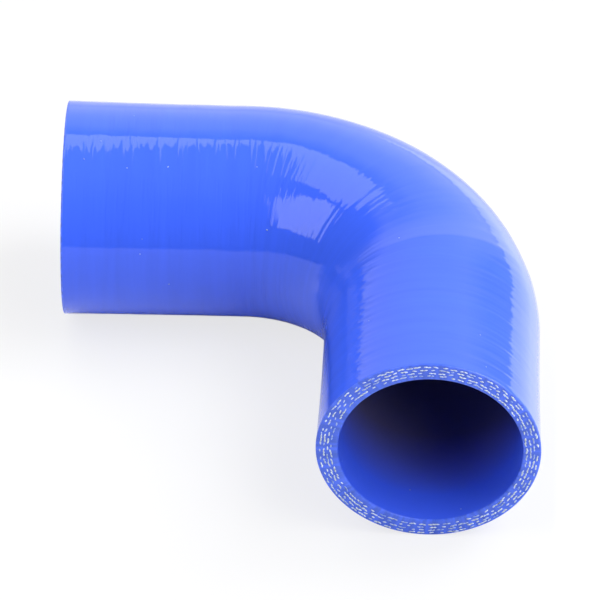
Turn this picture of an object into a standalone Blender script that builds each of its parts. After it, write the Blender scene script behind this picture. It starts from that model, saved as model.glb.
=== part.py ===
"""Silicone elbow hose: a 90 degree coolant elbow, four plies of fabric moulded in silicone rubber.

Metres, +Z up. The hose lies flat on its side. Seen from above, leg A runs toward -X and leg B
toward -Y, and the two straight legs meet in one smooth bend. The mesh is made about the point
where the centrelines of the legs cross, and the finished hose is then set down with its lowest
point on the ground and its middle over the origin.
"""

import math

import bmesh
import bpy
from mathutils import Vector

# Nominal sizes of the hose
BORE = 0.048
WALL = 0.0053
THROAT_RADIUS = 0.02325
STRAIGHT_A = 0.0502
STRAIGHT_B = 0.0472
BEND_ANGLE = math.radians(90)

# What wrapping the fabric round the mandrel and pulling the hose off it leave behind
BORE_SHIFT = 0.0004
PLY_LAP_HEIGHT = 0.00025
PLY_LAP_SPREAD = 0.009
SWELL_A = 0.0003
SWELL_B = 0.00085

# Trimming of the ends
CUT_EDGE_ROUND = 0.0005

# Fineness of the mesh
SIDES = 64
BEND_STEPS = 20
STRAIGHT_STEPS = 4
CUT_EDGE_SEGMENTS = 2

# Silicone rubber, pigmented right through
SILICONE_BLUE = (0.06, 0.148, 0.88, 1.0)
SILICONE_ROUGHNESS = 0.1

OUTER_RADIUS = BORE / 2 + WALL
BEND_RADIUS = THROAT_RADIUS + OUTER_RADIUS
LEG_REACH = BEND_RADIUS * math.tan(BEND_ANGLE / 2)
LEG_A = STRAIGHT_A + LEG_REACH
LEG_B = STRAIGHT_B + LEG_REACH


def clear_scene():
    for obj in list(bpy.data.objects):
        bpy.data.objects.remove(obj, do_unlink=True)


def silicone_material():
    material = bpy.data.materials.new("silicone")
    material.use_nodes = True
    surface = material.node_tree.nodes["Principled BSDF"]
    surface.inputs["Base Color"].default_value = SILICONE_BLUE
    surface.inputs["Roughness"].default_value = SILICONE_ROUGHNESS
    surface.inputs["Metallic"].default_value = 0.0
    return material


def stations():
    """Places along the centreline from mouth A to mouth B: (centre, outward side of the bend, swell)."""
    bend_centre = Vector((-LEG_REACH, -BEND_RADIUS, 0))
    leg_b_way = Vector((math.cos(BEND_ANGLE), -math.sin(BEND_ANGLE), 0))
    found = []
    for step in range(STRAIGHT_STEPS):
        nearness = 1 - step / STRAIGHT_STEPS
        centre = Vector((-LEG_REACH - STRAIGHT_A * nearness, 0, 0))
        found.append((centre, Vector((0, 1, 0)), SWELL_A * nearness**2))
    for step in range(BEND_STEPS + 1):
        turned = BEND_ANGLE * step / BEND_STEPS
        outward = Vector((math.sin(turned), math.cos(turned), 0))
        found.append((bend_centre + BEND_RADIUS * outward, outward, 0.0))
    bend_end, outward, _ = found[-1]
    for step in range(1, STRAIGHT_STEPS + 1):
        nearness = step / STRAIGHT_STEPS
        centre = bend_end + leg_b_way * STRAIGHT_B * nearness
        found.append((centre, outward, SWELL_B * nearness**2))
    return found


def skin_radius(angle):
    """Outer radius at an angle measured from the outward side of the bend.

    The last edge of each ply lies along the inside of the bend, where it raises a low, wide lap.
    """
    arc_from_lap = OUTER_RADIUS * abs(angle - math.pi)
    return OUTER_RADIUS + PLY_LAP_HEIGHT * math.exp(-0.5 * (arc_from_lap / PLY_LAP_SPREAD) ** 2)


def bore_radius(_angle):
    return BORE / 2


def ring(bm, station, radius_at, shift):
    """One closed row of vertices across the hose, with its centre shifted outward in the bend."""
    centre, outward, swell = station
    row = []
    for side in range(SIDES):
        angle = 2 * math.pi * side / SIDES
        reach = radius_at(angle) + swell
        place = centre + outward * (shift + reach * math.cos(angle))
        place.z += reach * math.sin(angle)
        row.append(bm.verts.new(place))
    return row


def hose_mesh():
    """The wall as one closed skin: over the outside to mouth B, and back through the bore to mouth A."""
    bm = bmesh.new()
    along = stations()
    rows = [ring(bm, station, skin_radius, 0.0) for station in along]
    rows += [ring(bm, station, bore_radius, BORE_SHIFT) for station in reversed(along)]
    for index, row in enumerate(rows):
        following = rows[(index + 1) % len(rows)]
        for side in range(SIDES):
            beside = (side + 1) % SIDES
            bm.faces.new((row[side], row[beside], following[beside], following[side]))
    bmesh.ops.recalc_face_normals(bm, faces=bm.faces)
    mesh = bpy.data.meshes.new("elbow_hose")
    bm.to_mesh(mesh)
    bm.free()
    mesh.shade_smooth()
    return mesh


def round_cut_edges(hose):
    """The knife leaves each of the four rims slightly rounded."""
    bevel = hose.modifiers.new("cut_edges", "BEVEL")
    bevel.width = min(CUT_EDGE_ROUND, WALL / 4)
    bevel.segments = CUT_EDGE_SEGMENTS
    bevel.limit_method = "ANGLE"
    bevel.angle_limit = math.radians(60)
    bevel.harden_normals = True


def set_down(hose):
    """Rest the finished hose on the ground with the middle of its outline over the origin."""
    bpy.context.view_layer.update()
    finished = hose.evaluated_get(bpy.context.evaluated_depsgraph_get())
    lowest, highest = Vector(finished.bound_box[0]), Vector(finished.bound_box[6])
    middle = (lowest + highest) / 2
    hose.location = (-middle.x, -middle.y, -lowest.z)


def elbow_hose():
    hose = bpy.data.objects.new("elbow_hose", hose_mesh())
    bpy.context.scene.collection.objects.link(hose)
    hose.data.materials.append(silicone_material())
    round_cut_edges(hose)
    set_down(hose)
    return hose


clear_scene()
elbow_hose()
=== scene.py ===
"""Looks of the silicone elbow hose: glossy blue moulded skin, dark bore, and the fabric in its cut ends."""

import math
import random

import bpy
import numpy as np
from mathutils import Matrix, Vector
from mathutils.bvhtree import BVHTree


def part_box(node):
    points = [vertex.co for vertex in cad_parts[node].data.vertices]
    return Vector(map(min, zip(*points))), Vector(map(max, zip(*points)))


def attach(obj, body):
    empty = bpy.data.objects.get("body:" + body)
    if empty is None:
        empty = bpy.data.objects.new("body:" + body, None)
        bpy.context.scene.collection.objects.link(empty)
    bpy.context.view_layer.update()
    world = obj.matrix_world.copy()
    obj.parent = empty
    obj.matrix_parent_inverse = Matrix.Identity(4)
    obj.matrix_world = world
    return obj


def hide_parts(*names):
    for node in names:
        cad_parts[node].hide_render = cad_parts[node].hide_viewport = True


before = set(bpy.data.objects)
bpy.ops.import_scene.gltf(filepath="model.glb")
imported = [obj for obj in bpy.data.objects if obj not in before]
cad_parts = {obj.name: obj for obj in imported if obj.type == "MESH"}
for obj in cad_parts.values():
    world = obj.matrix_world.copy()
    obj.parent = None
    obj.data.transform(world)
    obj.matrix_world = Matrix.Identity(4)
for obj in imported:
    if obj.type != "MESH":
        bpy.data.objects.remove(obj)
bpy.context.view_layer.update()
NODE_LOW, NODE_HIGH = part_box("elbow_hose")

# Sizes of the hose, as on the solid
BORE_RADIUS = 0.024
WALL = 0.0053
THROAT_RADIUS = 0.02325
BORE_SHIFT = 0.0004
PLY_LAP_HEIGHT = 0.00025
PLY_LAP_SPREAD = 0.009
SWELL_A = 0.0003
SWELL_B = 0.00085
CUT_EDGE_ROUND = 0.0005
SKIN_RADIUS = BORE_RADIUS + WALL
BEND_RADIUS = THROAT_RADIUS + SKIN_RADIUS
BEND_LENGTH = BEND_RADIUS * math.pi / 2

# Where the centrelines of the legs cross, and how long the straight legs are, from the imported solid
AXIS_HEIGHT = (NODE_LOW.z + NODE_HIGH.z) / 2
LEG_CROSSING = Vector((NODE_HIGH.x - AXIS_HEIGHT, NODE_HIGH.y - SKIN_RADIUS - SWELL_A, AXIS_HEIGHT))
STRAIGHT_A = LEG_CROSSING.x - NODE_LOW.x - BEND_RADIUS
STRAIGHT_B = LEG_CROSSING.y - NODE_LOW.y - BEND_RADIUS
HOSE_LENGTH = STRAIGHT_A + BEND_LENGTH + STRAIGHT_B

# How far along from mouth A the wrap left sharp creases, on the outside of the bend
CREASED_TO = STRAIGHT_A + 0.0035
CREASES_FADE = 0.010
CREASES_LEFT = 0.25

# The curing wrap ends just before leg B, in a low step round the hose, with a painted highlight, a pale
# band, along its top
WRAP_END = HOSE_LENGTH - 0.056
WRAP_END_DEPTH = 0.00016
WRAP_END_RISE = 0.007
WRAP_END_SPREAD = 0.030
PAINTED_HIGHLIGHT_LENGTH = 0.010
PAINTED_HIGHLIGHT_EDGE = 0.0007

# Fineness of the visible mesh
SIDES = 176
SKIN_STEP = 0.0005
BORE_STEP = 0.0035
EDGE_STEPS = 4
FACE_STEPS = 6

# Room that the yarn ends have on the cut faces
FACE_RECESS = 0.00008

# Painted shade in the bore: how far in from a mouth the bore is still free of it, and where it is as dark
# as it gets
BORE_SHADE_START = 0.010
BORE_SHADE_FULL_FROM = 0.034

# Shallow rings that the curing wrap leaves on the skin: length of a cell, cells round the hose, depth
RIPPLES = (
    (0.0014, 9, 0.000018), (0.0035, 50, 0.000048), (0.0075, 3, 0.000030), (0.0180, 2, 0.000040),
)
RIPPLE_FADE = 0.004

# Colours, in linear light
SILICONE_BLUE = (0.051, 0.131, 0.90, 1.0)
# Painted highlight: the pale band along the top where the wrap ends
SILICONE_PAINTED_HIGHLIGHT = (0.080, 0.158, 0.90, 1.0)
BORE_BLUE = (0.052, 0.130, 0.90, 1.0)
# Painted shade: the bore's colour deep inside
BORE_PAINTED_SHADE = (0.150, 0.140, 0.27, 1.0)
CUT_BLUE = (0.075, 0.165, 0.88, 1.0)
DUST_PALE = (0.36, 0.50, 0.90, 1.0)

# Yarn, clean and under the blue rubber that the blade wiped over it
YARN_WHITE = (0.78, 0.88, 0.98, 1.0)
YARN_VEILED = (0.26, 0.40, 0.92, 1.0)


def station(s):
    """Centre, outward direction and swell at a length s along the centreline from mouth A."""
    turned = min(max((s - STRAIGHT_A) / BEND_RADIUS, 0.0), math.pi / 2)
    outward = Vector((math.sin(turned), math.cos(turned), 0))
    centre = LEG_CROSSING + Vector((-BEND_RADIUS, -BEND_RADIUS, 0)) + BEND_RADIUS * outward
    before = max(STRAIGHT_A - s, 0.0)
    after = max(s - STRAIGHT_A - BEND_LENGTH, 0.0)
    centre += Vector((-before, -after, 0))
    swell = SWELL_A * (before / STRAIGHT_A) ** 2 + SWELL_B * (after / STRAIGHT_B) ** 2
    return centre, outward, swell


def skin_radius(angle):
    """Outer radius at an angle from the outward side of the bend, with the lap of plies on its inside."""
    arc_from_lap = SKIN_RADIUS * abs(angle % (2 * math.pi) - math.pi)
    return SKIN_RADIUS + PLY_LAP_HEIGHT * math.exp(-0.5 * (arc_from_lap / PLY_LAP_SPREAD) ** 2)


def section_point(s, angle, reach, shift=0.0):
    """A point in the hose's cross section at s, at a reach from the centreline, swollen as the mouth is."""
    centre, outward, swell = station(s)
    place = centre + outward * (shift + (reach + swell) * math.cos(angle))
    place.z += (reach + swell) * math.sin(angle)
    return place


def skin_point(s, angle, sink=0.0):
    """A point on the outer skin, or under it by sink."""
    return section_point(s, angle, skin_radius(angle) - sink)


def bore_point(s, angle, sink=0.0):
    """A point on the wall of the bore, or inside the wall by sink."""
    return section_point(s, angle, BORE_RADIUS + sink, BORE_SHIFT)


def eased(share):
    return share * share * (3 - 2 * share)


def soft_noise(lengths, cell, cells_round, rng):
    """Soft random heights from 0 to 1, for each length along the hose and each side round it."""
    rows = int(HOSE_LENGTH / cell) + 3
    knots = np.array([[rng.random() for _ in range(cells_round)] for _ in range(rows)])
    drift = np.array([rng.random() for _ in range(rows)])
    along = np.array(lengths) / cell
    row = along.astype(int)
    row_share = eased(along - row)
    heights = np.zeros((len(lengths), SIDES))
    for step, share in ((0, 1 - row_share), (1, row_share)):
        for index in range(len(lengths)):
            place = (np.arange(SIDES) / SIDES + drift[row[index] + step]) * cells_round
            column = place.astype(int)
            column_share = eased(place - column)
            near = knots[row[index] + step, column % cells_round]
            far = knots[row[index] + step, (column + 1) % cells_round]
            heights[index] += share[index] * (near * (1 - column_share) + far * column_share)
    return heights


def wrap_end_depth(s):
    """How far the skin lies under its full radius before the end of the wrap."""
    before = WRAP_END - s
    if before < WRAP_END_RISE:
        share = eased(max(0.0, before / WRAP_END_RISE))
    else:
        share = 1 - eased(min(1.0, (before - WRAP_END_RISE) / WRAP_END_SPREAD))
    return WRAP_END_DEPTH * share


def length_steps(step):
    inset = CUT_EDGE_ROUND + FACE_RECESS
    count = round(HOSE_LENGTH / step)
    return [inset + (HOSE_LENGTH - 2 * inset) * index / count for index in range(count + 1)]


class Lathe:
    """Rows of vertices round the hose, each joined to the next by a strip of one material."""

    SKIN, CUT, BORE = 0, 1, 2

    def __init__(self):
        self.angles = [2 * math.pi * side / SIDES for side in range(SIDES)]
        self.points = []
        self.lengths = []
        self.slots = []

    def row(self, s, slot, place):
        """A row at s, made by place(s, angle, side); slot is the material of the strip after it."""
        self.points.extend(place(s, angle, side) for side, angle in enumerate(self.angles))
        self.lengths.append(s)
        self.slots.append(slot)

    def rim(self, wall_point, mouth, way, leaving_wall, slot):
        """Rows over the rounded rim between a wall and the cut face at a mouth."""
        steps = range(1, EDGE_STEPS + 1)
        for step in steps if leaving_wall else reversed(steps):
            turned = math.pi / 2 * step / EDGE_STEPS
            sink = CUT_EDGE_ROUND * (1 - math.cos(turned))
            s = mouth + way * (FACE_RECESS + CUT_EDGE_ROUND * (1 - math.sin(turned)))
            self.row(s, slot, lambda at, angle, side: wall_point(at, angle, sink))

    def face(self, mouth, way, from_skin):
        """Rows across the cut face, between its rims."""
        for step in range(1, FACE_STEPS):
            share = step / FACE_STEPS if from_skin else 1 - step / FACE_STEPS

            def place(at, angle, side):
                outer = skin_point(at, angle, CUT_EDGE_ROUND)
                return outer.lerp(bore_point(at, angle, CUT_EDGE_ROUND), share)

            self.row(mouth + way * FACE_RECESS, self.CUT, place)

    def mesh(self, name):
        rows = len(self.lengths)
        faces = []
        for index in range(rows):
            start, following = index * SIDES, (index + 1) % rows * SIDES
            for side in range(SIDES):
                beside = (side + 1) % SIDES
                faces.append((start + side, following + side, following + beside, start + beside))
        mesh = bpy.data.meshes.new(name)
        mesh.from_pydata([tuple(point) for point in self.points], [], faces)
        mesh.polygons.foreach_set("material_index", [slot for slot in self.slots for _ in range(SIDES)])
        places = mesh.attributes.new("wall_place", "FLOAT_VECTOR", "POINT")
        section = [(SKIN_RADIUS * math.cos(a), SKIN_RADIUS * math.sin(a)) for a in self.angles]
        flat = [number for s in self.lengths for across, up in section for number in (s, across, up)]
        places.data.foreach_set("vector", flat)
        mesh.shade_smooth()
        return mesh


def hose_mesh():
    """The hose's wall as one closed skin, with its place along and round the wall as an attribute."""
    rng = random.Random(11)
    skin_lengths = length_steps(SKIN_STEP)
    depth = sum(tall * soft_noise(skin_lengths, cell, count, rng) for cell, count, tall in RIPPLES)
    lathe = Lathe()
    for index, length in enumerate(skin_lengths):
        fade = min(1.0, length / RIPPLE_FADE, (HOSE_LENGTH - length) / RIPPLE_FADE)
        under = fade * depth[index] + wrap_end_depth(length)
        lathe.row(length, lathe.SKIN, lambda s, angle, side: skin_point(s, angle, under[side]))
    lathe.rim(skin_point, HOSE_LENGTH, -1, True, lathe.CUT)
    lathe.face(HOSE_LENGTH, -1, True)
    lathe.rim(bore_point, HOSE_LENGTH, -1, False, lathe.CUT)
    for length in reversed(length_steps(BORE_STEP)):
        lathe.row(length, lathe.BORE, lambda s, angle, side: bore_point(s, angle))
    lathe.rim(bore_point, 0.0, 1, True, lathe.CUT)
    lathe.face(0.0, 1, False)
    lathe.rim(skin_point, 0.0, 1, False, lathe.CUT)
    return lathe.mesh("hose")


# Noises on the wall: cells a metre along the hose and round it, and detail
STREAK_NOISE = (300.0, 22.0, 2.0)
GLOSS_NOISE = (60.0, 60.0, 3.0)
RING_NOISE = (700.0, 35.0, 0.0)
CREASE_NOISE = (1000.0, 90.0, 0.0)
LINER_NOISE = (300.0, 300.0, 3.0)
GRAIN_NOISE = (700.0, 700.0, 4.0)
CREASE_NOISE_START = 7.3

# How strong the rings are on leg A, on the shoulders of leg B and on the rest of leg B
RINGS_ON_A = 0.75
RINGS_ON_SHOULDERS = 1.90
RINGS_ON_B = 0.40
SHOULDER_LOW = 0.66 * SKIN_RADIUS
SHOULDER_HIGH = 0.88 * SKIN_RADIUS
SHOULDER_FADE = 0.16 * SKIN_RADIUS

# How deep the noises go
RING_DEPTH = 0.000060
CREASE_DEPTH = 0.000030
LINER_DEPTH = 0.00004
GRAIN_DEPTH = 0.00010

SURFACE_IOR = 1.45


def new_material(name, colour, roughness):
    material = bpy.data.materials.new(name)
    material.use_nodes = True
    surface = material.node_tree.nodes["Principled BSDF"]
    surface.inputs["Base Color"].default_value = colour
    surface.inputs["Roughness"].default_value = roughness
    surface.inputs["IOR"].default_value = SURFACE_IOR
    return material, material.node_tree, surface


def wall_place(tree):
    """Place on the wall of the hose: metres along it from mouth A, then across its section."""
    place = tree.nodes.new("ShaderNodeAttribute")
    place.attribute_name = "wall_place"
    return place.outputs["Vector"]


def wall_axes(tree):
    """Length along the hose from mouth A, and how far outward in the bend and how high, in metres."""
    split = tree.nodes.new("ShaderNodeSeparateXYZ")
    tree.links.new(wall_place(tree), split.inputs["Vector"])
    return split.outputs


def wall_noise(tree, along_scale, around_scale, detail, start=0.0):
    """Noise on the wall of the hose, with its scales along and round it in cells a metre."""
    stretch = tree.nodes.new("ShaderNodeMapping")
    stretch.inputs["Location"].default_value = (start, 0, 0)
    stretch.inputs["Scale"].default_value = (along_scale, around_scale, around_scale)
    noise = tree.nodes.new("ShaderNodeTexNoise")
    noise.inputs["Scale"].default_value = 1.0
    noise.inputs["Detail"].default_value = detail
    tree.links.new(wall_place(tree), stretch.inputs["Vector"])
    tree.links.new(stretch.outputs["Vector"], noise.inputs["Vector"])
    return noise.outputs["Fac"]


def maths(tree, operation, first, second):
    """A maths node on two sockets or numbers."""
    node = tree.nodes.new("ShaderNodeMath")
    node.operation = operation
    for socket, value in zip(node.inputs, (first, second)):
        if isinstance(value, (int, float)):
            socket.default_value = value
        else:
            tree.links.new(value, socket)
    return node.outputs[0]


def product(tree, first, *factors):
    """A socket times numbers or other sockets."""
    for factor in factors:
        first = maths(tree, "MULTIPLY", first, factor)
    return first


def window(tree, value, low, high, fade):
    """1 between low and high, fading at both ends."""
    rise = maths(tree, "DIVIDE", maths(tree, "SUBTRACT", value, low - fade / 2), fade)
    fall = maths(tree, "DIVIDE", maths(tree, "SUBTRACT", high + fade / 2, value), fade)
    inside = maths(tree, "MINIMUM", maths(tree, "MINIMUM", rise, fall), 1.0)
    return maths(tree, "MAXIMUM", inside, 0.0)


def map_range(tree, value, from_low, from_high, to_low=0.0, to_high=1.0):
    """A ramp that stays at its end values outside the range."""
    node = tree.nodes.new("ShaderNodeMapRange")
    node.inputs["From Min"].default_value = from_low
    node.inputs["From Max"].default_value = from_high
    node.inputs["To Min"].default_value = to_low
    node.inputs["To Max"].default_value = to_high
    tree.links.new(value, node.inputs["Value"])
    return node.outputs["Result"]


def mix_colours(tree, share, first, second):
    """From the first to the second of two colours or sockets."""
    mix = tree.nodes.new("ShaderNodeMix")
    mix.data_type = "RGBA"
    tree.links.new(share, mix.inputs["Factor"])
    for name, colour in (("A", first), ("B", second)):
        if isinstance(colour, tuple):
            mix.inputs[name].default_value = colour
        else:
            tree.links.new(colour, mix.inputs[name])
    return mix.outputs["Result"]


def add_bump(tree, surface, height, distance, under=None):
    bump = tree.nodes.new("ShaderNodeBump")
    bump.inputs["Distance"].default_value = distance
    tree.links.new(height, bump.inputs["Height"])
    if under is not None:
        tree.links.new(under, bump.inputs["Normal"])
    tree.links.new(bump.outputs["Normal"], surface.inputs["Normal"])
    return bump.outputs["Normal"]


def shaded(colour, factor):
    return tuple(channel * factor for channel in colour[:3]) + (1.0,)


def streaked_blue(tree):
    """The silicone's blue, faintly streaked."""
    streaks = map_range(tree, wall_noise(tree, *STREAK_NOISE), 0.3, 0.7)
    return mix_colours(tree, streaks, shaded(SILICONE_BLUE, 0.97), shaded(SILICONE_BLUE, 1.03))


def wrap_end_painted_highlight(tree, length, height):
    """Share of the painted highlight, a pale band: rising toward the end of the wrap, and only along the
    top.
    """
    nearing = map_range(tree, length, WRAP_END - PAINTED_HIGHLIGHT_LENGTH, WRAP_END)
    passed = map_range(tree, length, WRAP_END, WRAP_END + PAINTED_HIGHLIGHT_EDGE, 1.0, 0.0)
    on_top = map_range(tree, height, 0.45 * SKIN_RADIUS, 0.80 * SKIN_RADIUS)
    return product(tree, nearing, passed, on_top)


def ring_strength(tree, length, height):
    """The rings go deeper on the shoulders of leg B than on leg A, and less deep on the rest of leg B."""
    on_leg_b = map_range(tree, length, STRAIGHT_A + 0.75 * BEND_LENGTH, STRAIGHT_A + BEND_LENGTH)
    on_shoulder = window(tree, height, SHOULDER_LOW, SHOULDER_HIGH, SHOULDER_FADE)
    on_b = maths(tree, "ADD", product(tree, on_shoulder, RINGS_ON_SHOULDERS - RINGS_ON_B), RINGS_ON_B)
    gained = product(tree, maths(tree, "SUBTRACT", on_b, RINGS_ON_A), on_leg_b)
    return maths(tree, "ADD", gained, RINGS_ON_A)


def crease_strength(tree, length, outward):
    """The creases are strong on leg A, and reach further on the inside of the bend than on its outside."""
    reached = maths(tree, "ADD", length, outward)
    return map_range(tree, reached, CREASED_TO, CREASED_TO + CREASES_FADE, 1.0, CREASES_LEFT)


def skin_material():
    """Glossy moulded silicone, with fine rings and creases from the wrap that it was cured in."""
    material, tree, surface = new_material("silicone_skin", SILICONE_BLUE, 0.08)
    length, outward, height = wall_axes(tree)
    # A painted highlight: the base colour turns paler along the top near the end of the wrap
    painted_highlight = wrap_end_painted_highlight(tree, length, height)
    colour = mix_colours(tree, painted_highlight, streaked_blue(tree), SILICONE_PAINTED_HIGHLIGHT)
    tree.links.new(colour, surface.inputs["Base Color"])
    roughness = map_range(tree, wall_noise(tree, *GLOSS_NOISE), 0.3, 0.7, 0.03, 0.07)
    tree.links.new(roughness, surface.inputs["Roughness"])
    rings = product(tree, wall_noise(tree, *RING_NOISE), ring_strength(tree, length, height))
    ringed = add_bump(tree, surface, rings, RING_DEPTH)
    creases = map_range(tree, wall_noise(tree, *CREASE_NOISE, CREASE_NOISE_START), 0.55, 0.77)
    creases = product(tree, creases, crease_strength(tree, length, outward))
    add_bump(tree, surface, creases, CREASE_DEPTH, ringed)
    return material


def bore_material():
    """The liner: satin, with painted shade that darkens it deep inside."""
    material, tree, surface = new_material("silicone_bore", BORE_BLUE, 0.3)
    middle = HOSE_LENGTH / 2
    length = wall_axes(tree)[0]
    from_middle = maths(tree, "ABSOLUTE", maths(tree, "SUBTRACT", length, middle), 0.0)
    # Painted shade: the bore's colour darkens away from the mouths
    unshaded = map_range(tree, from_middle, middle - BORE_SHADE_FULL_FROM, middle - BORE_SHADE_START)
    colour = mix_colours(tree, unshaded, BORE_PAINTED_SHADE, BORE_BLUE)
    tree.links.new(colour, surface.inputs["Base Color"])
    add_bump(tree, surface, wall_noise(tree, *LINER_NOISE), LINER_DEPTH)
    return material


def cut_material():
    """Knife-cut rubber and cloth: matt, with the drag of the blade."""
    material, tree, surface = new_material("silicone_cut", CUT_BLUE, 0.4)
    grain = wall_noise(tree, *GRAIN_NOISE)
    grainy = map_range(tree, grain, 0.35, 0.65)
    colour = mix_colours(tree, grainy, shaded(CUT_BLUE, 0.82), shaded(CUT_BLUE, 1.15))
    tree.links.new(colour, surface.inputs["Base Color"])
    add_bump(tree, surface, grain, GRAIN_DEPTH)
    return material


def veiled_material(name, bare, veiled, roughness):
    """A material of beads, each between a bare colour and a veiled one by its own veil."""
    material, tree, surface = new_material(name, bare, roughness)
    veil = tree.nodes.new("ShaderNodeAttribute")
    veil.attribute_name = "veil"
    colour = mix_colours(tree, veil.outputs["Fac"], bare, veiled)
    tree.links.new(colour, surface.inputs["Base Color"])
    return material


def add_piece(name, mesh):
    piece = bpy.data.objects.new(name, mesh)
    bpy.context.scene.collection.objects.link(piece)
    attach(piece, "root")
    return piece


def make_hose():
    mesh = hose_mesh()
    for material in (skin_material(), cut_material(), bore_material()):
        mesh.materials.append(material)
    hose = add_piece("hose_wall", mesh)
    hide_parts("elbow_hose")
    return hose


# Yarn ends in a cut face: four plies of cloth, at these depths under the skin, in short runs of beads
PLY_DEPTHS = (0.00095, 0.0019, 0.0029, 0.0039)
PLY_WANDER = 0.00012
YARN_PITCH = 0.0026
YARN_BEAD_COUNTS = (1, 1, 2, 2, 2, 3)
YARN_BEAD_SPACING = 0.00085
YARN_BEAD_LENGTHS = (0.0009, 0.0015)
YARN_BEAD_WIDTHS = (0.00036, 0.00052)
YARN_BEAD_WANDER = 0.00006

# The shape of a bead, in yarn and in dust
BEAD_SIDES = 8
BEAD_ROOT = 0.00006
BEAD_SHOULDER = 0.75


class Beads:
    """Low domes in one mesh, rooted under the face they stand on, each with its own veil."""

    def __init__(self):
        self.points, self.faces, self.veils = [], [], []

    def add(self, centre, along, across, up, length, width, height, veil):
        first = len(self.points)
        for rise, spread in ((-BEAD_ROOT, 1.0), (height * BEAD_SHOULDER, BEAD_SHOULDER)):
            for side in range(BEAD_SIDES):
                turned = 2 * math.pi * side / BEAD_SIDES
                offset = along * (length / 2 * spread * math.cos(turned))
                offset += across * (width / 2 * spread * math.sin(turned))
                self.points.append(centre + offset + up * rise)
        self.points.append(centre + up * height)
        for side in range(BEAD_SIDES):
            beside = (side + 1) % BEAD_SIDES
            low, low_beside = first + side, first + beside
            high, high_beside = low + BEAD_SIDES, low_beside + BEAD_SIDES
            self.faces.append((low, low_beside, high_beside, high))
            self.faces.append((high, high_beside, first + 2 * BEAD_SIDES))
        self.faces.append(tuple(first + side for side in reversed(range(BEAD_SIDES))))
        self.veils.extend([veil] * (2 * BEAD_SIDES + 1))

    def mesh(self, name, material):
        mesh = bpy.data.meshes.new(name)
        mesh.from_pydata([tuple(point) for point in self.points], [], self.faces)
        veil = mesh.attributes.new("veil", "FLOAT", "POINT")
        veil.data.foreach_set("value", self.veils)
        mesh.materials.append(material)
        mesh.shade_smooth()
        return mesh


def yarn_dash(beads, rng, s, outside, angle, depth):
    """One yarn seen end on or lying along the cut: a short run of beads that follows its ply."""
    count = rng.choice(YARN_BEAD_COUNTS)
    veil = min(1.0, max(0.0, rng.gauss(0.25, 0.35)))
    lean = rng.uniform(-0.15, 0.15)
    for index in range(count):
        length = rng.uniform(*YARN_BEAD_LENGTHS)
        width = rng.uniform(*YARN_BEAD_WIDTHS)
        forward = (index - (count - 1) / 2) * YARN_BEAD_SPACING
        sink = depth + forward * lean + rng.uniform(-YARN_BEAD_WANDER, YARN_BEAD_WANDER)
        turned = angle + forward / (SKIN_RADIUS - sink)
        centre = section_point(s, turned, SKIN_RADIUS - sink)
        across = (section_point(s, turned, SKIN_RADIUS) - centre).normalized()
        along = across.cross(outside)
        twisted = (along + across * rng.uniform(-0.3, 0.3)).normalized()
        bead_veil = min(1.0, max(0.0, veil + rng.uniform(-0.2, 0.2)))
        height = FACE_RECESS * rng.uniform(0.6, 0.98)
        beads.add(centre, twisted, twisted.cross(outside), outside, length, width, height, bead_veil)


def make_yarn_ends(name, mouth, way, material, seed):
    """The yarn ends of all plies in the cut face at a mouth, with the hose the given way along from it."""
    rng = random.Random(seed)
    beads = Beads()
    s = mouth + way * FACE_RECESS
    outward = station(s)[1]
    outside = outward.cross(Vector((0, 0, way)))
    for depth in PLY_DEPTHS:
        angle = rng.uniform(0, 0.1)
        while angle < 2 * math.pi:
            yarn_depth = depth + rng.uniform(-PLY_WANDER, PLY_WANDER)
            yarn_dash(beads, rng, s, outside, angle, yarn_depth)
            angle += YARN_PITCH * rng.uniform(0.75, 1.3) / (SKIN_RADIUS - depth)
    piece = add_piece(name, beads.mesh(name, material))


# Camera, as fitted to the photograph: seen from the front and 40 degrees above, through a long lens
CAMERA_YAW = -0.0311
CAMERA_PITCH = 0.6947
CAMERA_ROLL = 0.0037
CAMERA_DISTANCE = 2.18945
CAMERA_LENS_MM = 480.0
CAMERA_SENSOR_MM = 36.0
CAMERA_AIM = LEG_CROSSING + Vector((-0.036575, -0.037921, 0))
PHOTO_SIZE = 600


def camera_axes():
    """The camera's right, up and forward directions."""
    forward = Vector((
        math.sin(CAMERA_YAW) * math.cos(CAMERA_PITCH),
        math.cos(CAMERA_YAW) * math.cos(CAMERA_PITCH),
        -math.sin(CAMERA_PITCH),
    ))
    level = Vector((math.cos(CAMERA_YAW), -math.sin(CAMERA_YAW), 0))
    upward = level.cross(forward)
    right = level * math.cos(CAMERA_ROLL) + upward * math.sin(CAMERA_ROLL)
    up = upward * math.cos(CAMERA_ROLL) - level * math.sin(CAMERA_ROLL)
    return right, up, forward


def make_camera():
    right, up, forward = camera_axes()
    data = bpy.data.cameras.new("camera")
    data.lens = CAMERA_LENS_MM
    data.sensor_width = CAMERA_SENSOR_MM
    data.clip_start, data.clip_end = 0.1, 50.0
    camera = bpy.data.objects.new("camera", data)
    turn = Matrix((right, up, -forward)).transposed().to_4x4()
    camera.matrix_world = Matrix.Translation(CAMERA_AIM - forward * CAMERA_DISTANCE) @ turn
    bpy.context.scene.collection.objects.link(camera)
    bpy.context.scene.camera = camera


# Flecks of dust on the skin: their pixels in the photograph, how wide they are and how high they stand
DUST_PIXELS = (
    (84, 159), (127, 168), (168, 167), (257, 167), (134, 116), (140, 254), (142, 239), (169, 284),
    (267, 230), (480, 335), (486, 367), (369, 321), (399, 238), (101, 141), (342, 461), (410, 490),
    (461, 509),
)
DUST_WIDTHS = (0.00022, 0.00042)
DUST_HEIGHT = 0.00005


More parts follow.
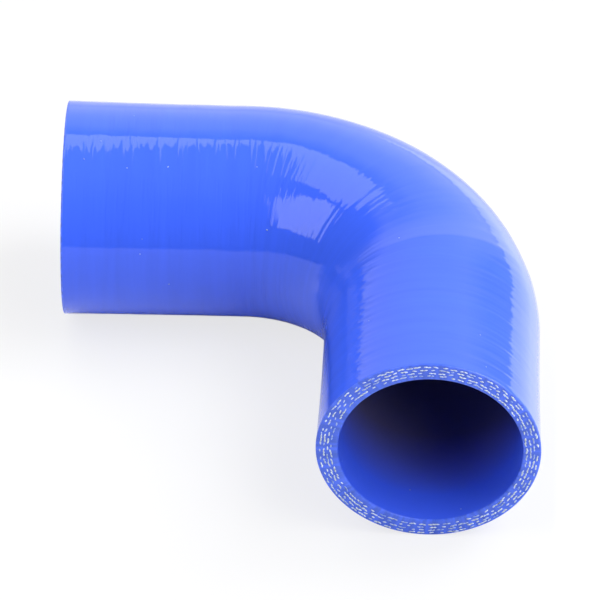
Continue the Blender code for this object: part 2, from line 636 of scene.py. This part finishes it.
def make_dust(hose):
    """Flecks of dust where the photograph shows them, each lying on the wall that carries it."""
    rng = random.Random(5)
    right, up, forward = camera_axes()
    eye = CAMERA_AIM - forward * CAMERA_DISTANCE
    corners = [vertex.co for vertex in hose.data.vertices]
    tree = BVHTree.FromPolygons(corners, [face.vertices for face in hose.data.polygons])
    beads = Beads()
    pixel = CAMERA_SENSOR_MM / CAMERA_LENS_MM / PHOTO_SIZE
    for x, y in DUST_PIXELS:
        ray = forward + right * ((x - PHOTO_SIZE / 2) * pixel) + up * ((PHOTO_SIZE / 2 - y) * pixel)
        place, normal, _, _ = tree.ray_cast(eye, ray.normalized())
        along = normal.orthogonal().normalized()
        along = Matrix.Rotation(rng.uniform(0, math.pi), 3, normal) @ along
        width = rng.uniform(*DUST_WIDTHS)
        length = width * rng.uniform(1.0, 1.9)
        across = normal.cross(along)
        beads.add(place, along, across, normal, length, width, DUST_HEIGHT, rng.random())
    material = veiled_material("dust", DUST_PALE, shaded(DUST_PALE, 0.6), 0.8)
    add_piece("dust_flecks", beads.mesh("dust_flecks", material))


# The white tent that lights the hose: azimuth from and to (0 is the back, 90 the right), elevation
# from and to, how many degrees its edges fade over, and how bright it is, where 1 is white paper
TENT_WALLS = {
    "backdrop": (-45, 30, -5, 46, 12, 1.1),
    "backdrop_glow": (-12, 24, -10, 26, 20, 0.19),
    "backdrop_end": (28, 50, -5, 42, 10, 0.4),
    "right_front_wall": (120, 150, 10, 46, 10, 3.0),
    "high_back": (-50, 48, 46, 68, 10, 0.23),
    "high_right": (52, 135, 44, 70, 12, 6.4),
    "high_front": (135, 225, 54, 70, 16, 0.17),
    "ceiling": (-190, 190, 70, 100, 14, 0.22),
}


def azimuth_from(tree, x, y, middle):
    """Degrees of azimuth away from a middle one."""
    sine = math.sin(math.radians(middle))
    cosine = math.cos(math.radians(middle))
    along = maths(tree, "ADD", product(tree, x, sine), product(tree, y, cosine))
    across = maths(tree, "SUBTRACT", product(tree, x, cosine), product(tree, y, sine))
    return product(tree, maths(tree, "ARCTAN2", across, along), math.degrees(1))


def make_world():
    """The tent as the hose sees it. The camera sees plain white."""
    world = bpy.data.worlds.new("studio")
    bpy.context.scene.world = world
    world.use_nodes = True
    tree = world.node_tree
    direction = tree.nodes.new("ShaderNodeTexCoord")
    split = tree.nodes.new("ShaderNodeSeparateXYZ")
    tree.links.new(direction.outputs["Generated"], split.inputs["Vector"])
    x, y, z = split.outputs
    elevation = product(tree, maths(tree, "ARCSINE", z, 0.0), math.degrees(1))
    light = 0.0
    for az_from, az_to, el_from, el_to, fade, level in TENT_WALLS.values():
        half = (az_to - az_from) / 2
        across = azimuth_from(tree, x, y, az_from + half)
        upright = window(tree, elevation, el_from, el_to, fade)
        sideways = window(tree, across, -half, half, fade)
        light = maths(tree, "ADD", light, product(tree, upright, sideways, level))
    seen = tree.nodes.new("ShaderNodeLightPath").outputs["Is Camera Ray"]
    unseen = product(tree, light, maths(tree, "SUBTRACT", 1.0, seen))
    strength = maths(tree, "MAXIMUM", unseen, seen)
    tree.links.new(strength, tree.nodes["Background"].inputs["Strength"])
    tree.nodes["Background"].inputs["Color"].default_value = (1, 1, 1, 1)


# Softboxes: outlines in metres in the plane of each, centres from where the legs of the hose cross, and
# azimuth, elevation and spin in degrees. The reflections of the first two show on the hose
ROOF_BOX = (
    (-0.060, 0.247), (-0.060, 0.205), (-0.172, -0.041), (-0.257, -0.009), (-0.325, 0.021),
    (-0.343, 0.050), (-0.306, 0.127), (-0.238, 0.189), (-0.149, 0.259),
)
LEFT_BOX = (
    (-0.148, 0.128), (-0.164, 0.020), (-0.148, -0.078), (-0.098, -0.124), (0.178, -0.128),
    (0.182, -0.100), (0.166, 0.043), (0.153, 0.119), (0.050, 0.134),
)
SIDE_BOX = ((-0.15, -0.15), (0.15, -0.15), (0.15, 0.15), (-0.15, 0.15))
ROOF_AT = (0, 0, 0.4)
LEFT_AT = (-0.2907, -0.2024, 0.2738)
SIDE_AT = (0.48, 0.16, 0.34)
LEFT_FACING = (-94.8, 26.9, -21.3)
SIDE_FACING = (71.6, 33.9, 0)
ROOF_BRIGHTNESS = 2.5
LEFT_BRIGHTNESS = 3.15
SIDE_BRIGHTNESS = 8.2


def softbox(name, outline, centre, across, upward, brightness):
    """A glowing sheet in the tent, which the camera doesn't see."""
    mesh = bpy.data.meshes.new(name)
    middle = LEG_CROSSING + Vector(centre)
    corners = [tuple(middle + across * u + upward * v) for u, v in outline]
    mesh.from_pydata(corners, [], [tuple(range(len(corners)))])
    material = bpy.data.materials.new(name)
    material.use_nodes = True
    tree = material.node_tree
    glow = tree.nodes.new("ShaderNodeEmission")
    glow.inputs["Strength"].default_value = brightness
    tree.links.new(glow.outputs["Emission"], tree.nodes["Material Output"].inputs["Surface"])
    mesh.materials.append(material)
    sheet = bpy.data.objects.new(name, mesh)
    sheet.visible_camera = False
    bpy.context.scene.collection.objects.link(sheet)


def facing_axes(azimuth, elevation, spin):
    """Directions across and up in a sheet that faces the hose from an azimuth and elevation in degrees."""
    azimuth, elevation, spin = map(math.radians, (azimuth, elevation, spin))
    away = Vector((
        math.sin(azimuth) * math.cos(elevation),
        math.cos(azimuth) * math.cos(elevation),
        math.sin(elevation),
    ))
    level = Vector((math.cos(azimuth), -math.sin(azimuth), 0))
    across = level * math.cos(spin) - away.cross(level) * math.sin(spin)
    return across, away.cross(across)


def make_softboxes():
    roof_axes = (Vector((1, 0, 0)), Vector((0, 1, 0)))
    left_axes = facing_axes(*LEFT_FACING)
    side_axes = facing_axes(*SIDE_FACING)
    softbox("roof_softbox", ROOF_BOX, ROOF_AT, *roof_axes, ROOF_BRIGHTNESS)
    softbox("left_softbox", LEFT_BOX, LEFT_AT, *left_axes, LEFT_BRIGHTNESS)
    softbox("side_softbox", SIDE_BOX, SIDE_AT, *side_axes, SIDE_BRIGHTNESS)


# White paper under the hose, and the share of plain white that the camera and reflections see in it
FLOOR_WHITE = (0.78, 0.78, 0.78, 1.0)
FLOOR_HALF = 0.9
FLOOR_GLOW = 0.75
FLOOR_GLOW_MIRRORED = 0.96

# Reflections see the white only where the hose doesn't cover the paper, by the paper's openness
OPENNESS_REACH = 0.15
OPENNESS_DARK = 0.26
OPENNESS_CLEAR = 0.76

# The paper to the right of the hose is lit from below, as a light table is
TABLE_FROM = 0.070
TABLE_FULL_FROM = 0.110
TABLE_BRIGHTNESS = 0.75


def paper_material():
    """White paper that keeps the shadow of the hose."""
    material, tree, surface = new_material("paper", FLOOR_WHITE, 0.9)
    openness = tree.nodes.new("ShaderNodeAmbientOcclusion")
    openness.inputs["Distance"].default_value = OPENNESS_REACH
    clear = map_range(tree, openness.outputs["AO"], OPENNESS_DARK, OPENNESS_CLEAR, 0.0, FLOOR_GLOW_MIRRORED)
    light_path = tree.nodes.new("ShaderNodeLightPath")
    seen = product(tree, light_path.outputs["Is Camera Ray"], FLOOR_GLOW)
    mirrored = product(tree, light_path.outputs["Is Glossy Ray"], clear)
    paper = tree.nodes.new("ShaderNodeMixShader")
    tree.links.new(maths(tree, "ADD", seen, mirrored), paper.inputs["Fac"])
    tree.links.new(surface.outputs["BSDF"], paper.inputs[1])
    tree.links.new(tree.nodes.new("ShaderNodeEmission").outputs["Emission"], paper.inputs[2])
    place = tree.nodes.new("ShaderNodeSeparateXYZ")
    tree.links.new(tree.nodes.new("ShaderNodeTexCoord").outputs["Object"], place.inputs["Vector"])
    table = tree.nodes.new("ShaderNodeEmission")
    lit = map_range(tree, place.outputs["X"], TABLE_FROM, TABLE_FULL_FROM, 0.0, TABLE_BRIGHTNESS)
    tree.links.new(lit, table.inputs["Strength"])
    lit_paper = tree.nodes.new("ShaderNodeAddShader")
    tree.links.new(paper.outputs["Shader"], lit_paper.inputs[0])
    tree.links.new(table.outputs["Emission"], lit_paper.inputs[1])
    tree.links.new(lit_paper.outputs["Shader"], tree.nodes["Material Output"].inputs["Surface"])
    return material


def make_floor():
    mesh = bpy.data.meshes.new("floor")
    corners = ((-1, -1), (1, -1), (1, 1), (-1, 1))
    mesh.from_pydata([(x * FLOOR_HALF, y * FLOOR_HALF, 0) for x, y in corners], [], [(0, 1, 2, 3)])
    floor = bpy.data.objects.new("floor", mesh)
    bpy.context.scene.collection.objects.link(floor)
    mesh.materials.append(paper_material())


hose_piece = make_hose()
yarn = veiled_material("yarn", YARN_WHITE, YARN_VEILED, 0.55)
make_yarn_ends("yarn_ends_a", 0.0, 1, yarn, 21)
make_yarn_ends("yarn_ends_b", HOSE_LENGTH, -1, yarn, 22)
make_dust(hose_piece)
make_camera()
make_softboxes()
make_floor()
make_world()
bpy.context.scene.view_settings.view_transform = "Standard"
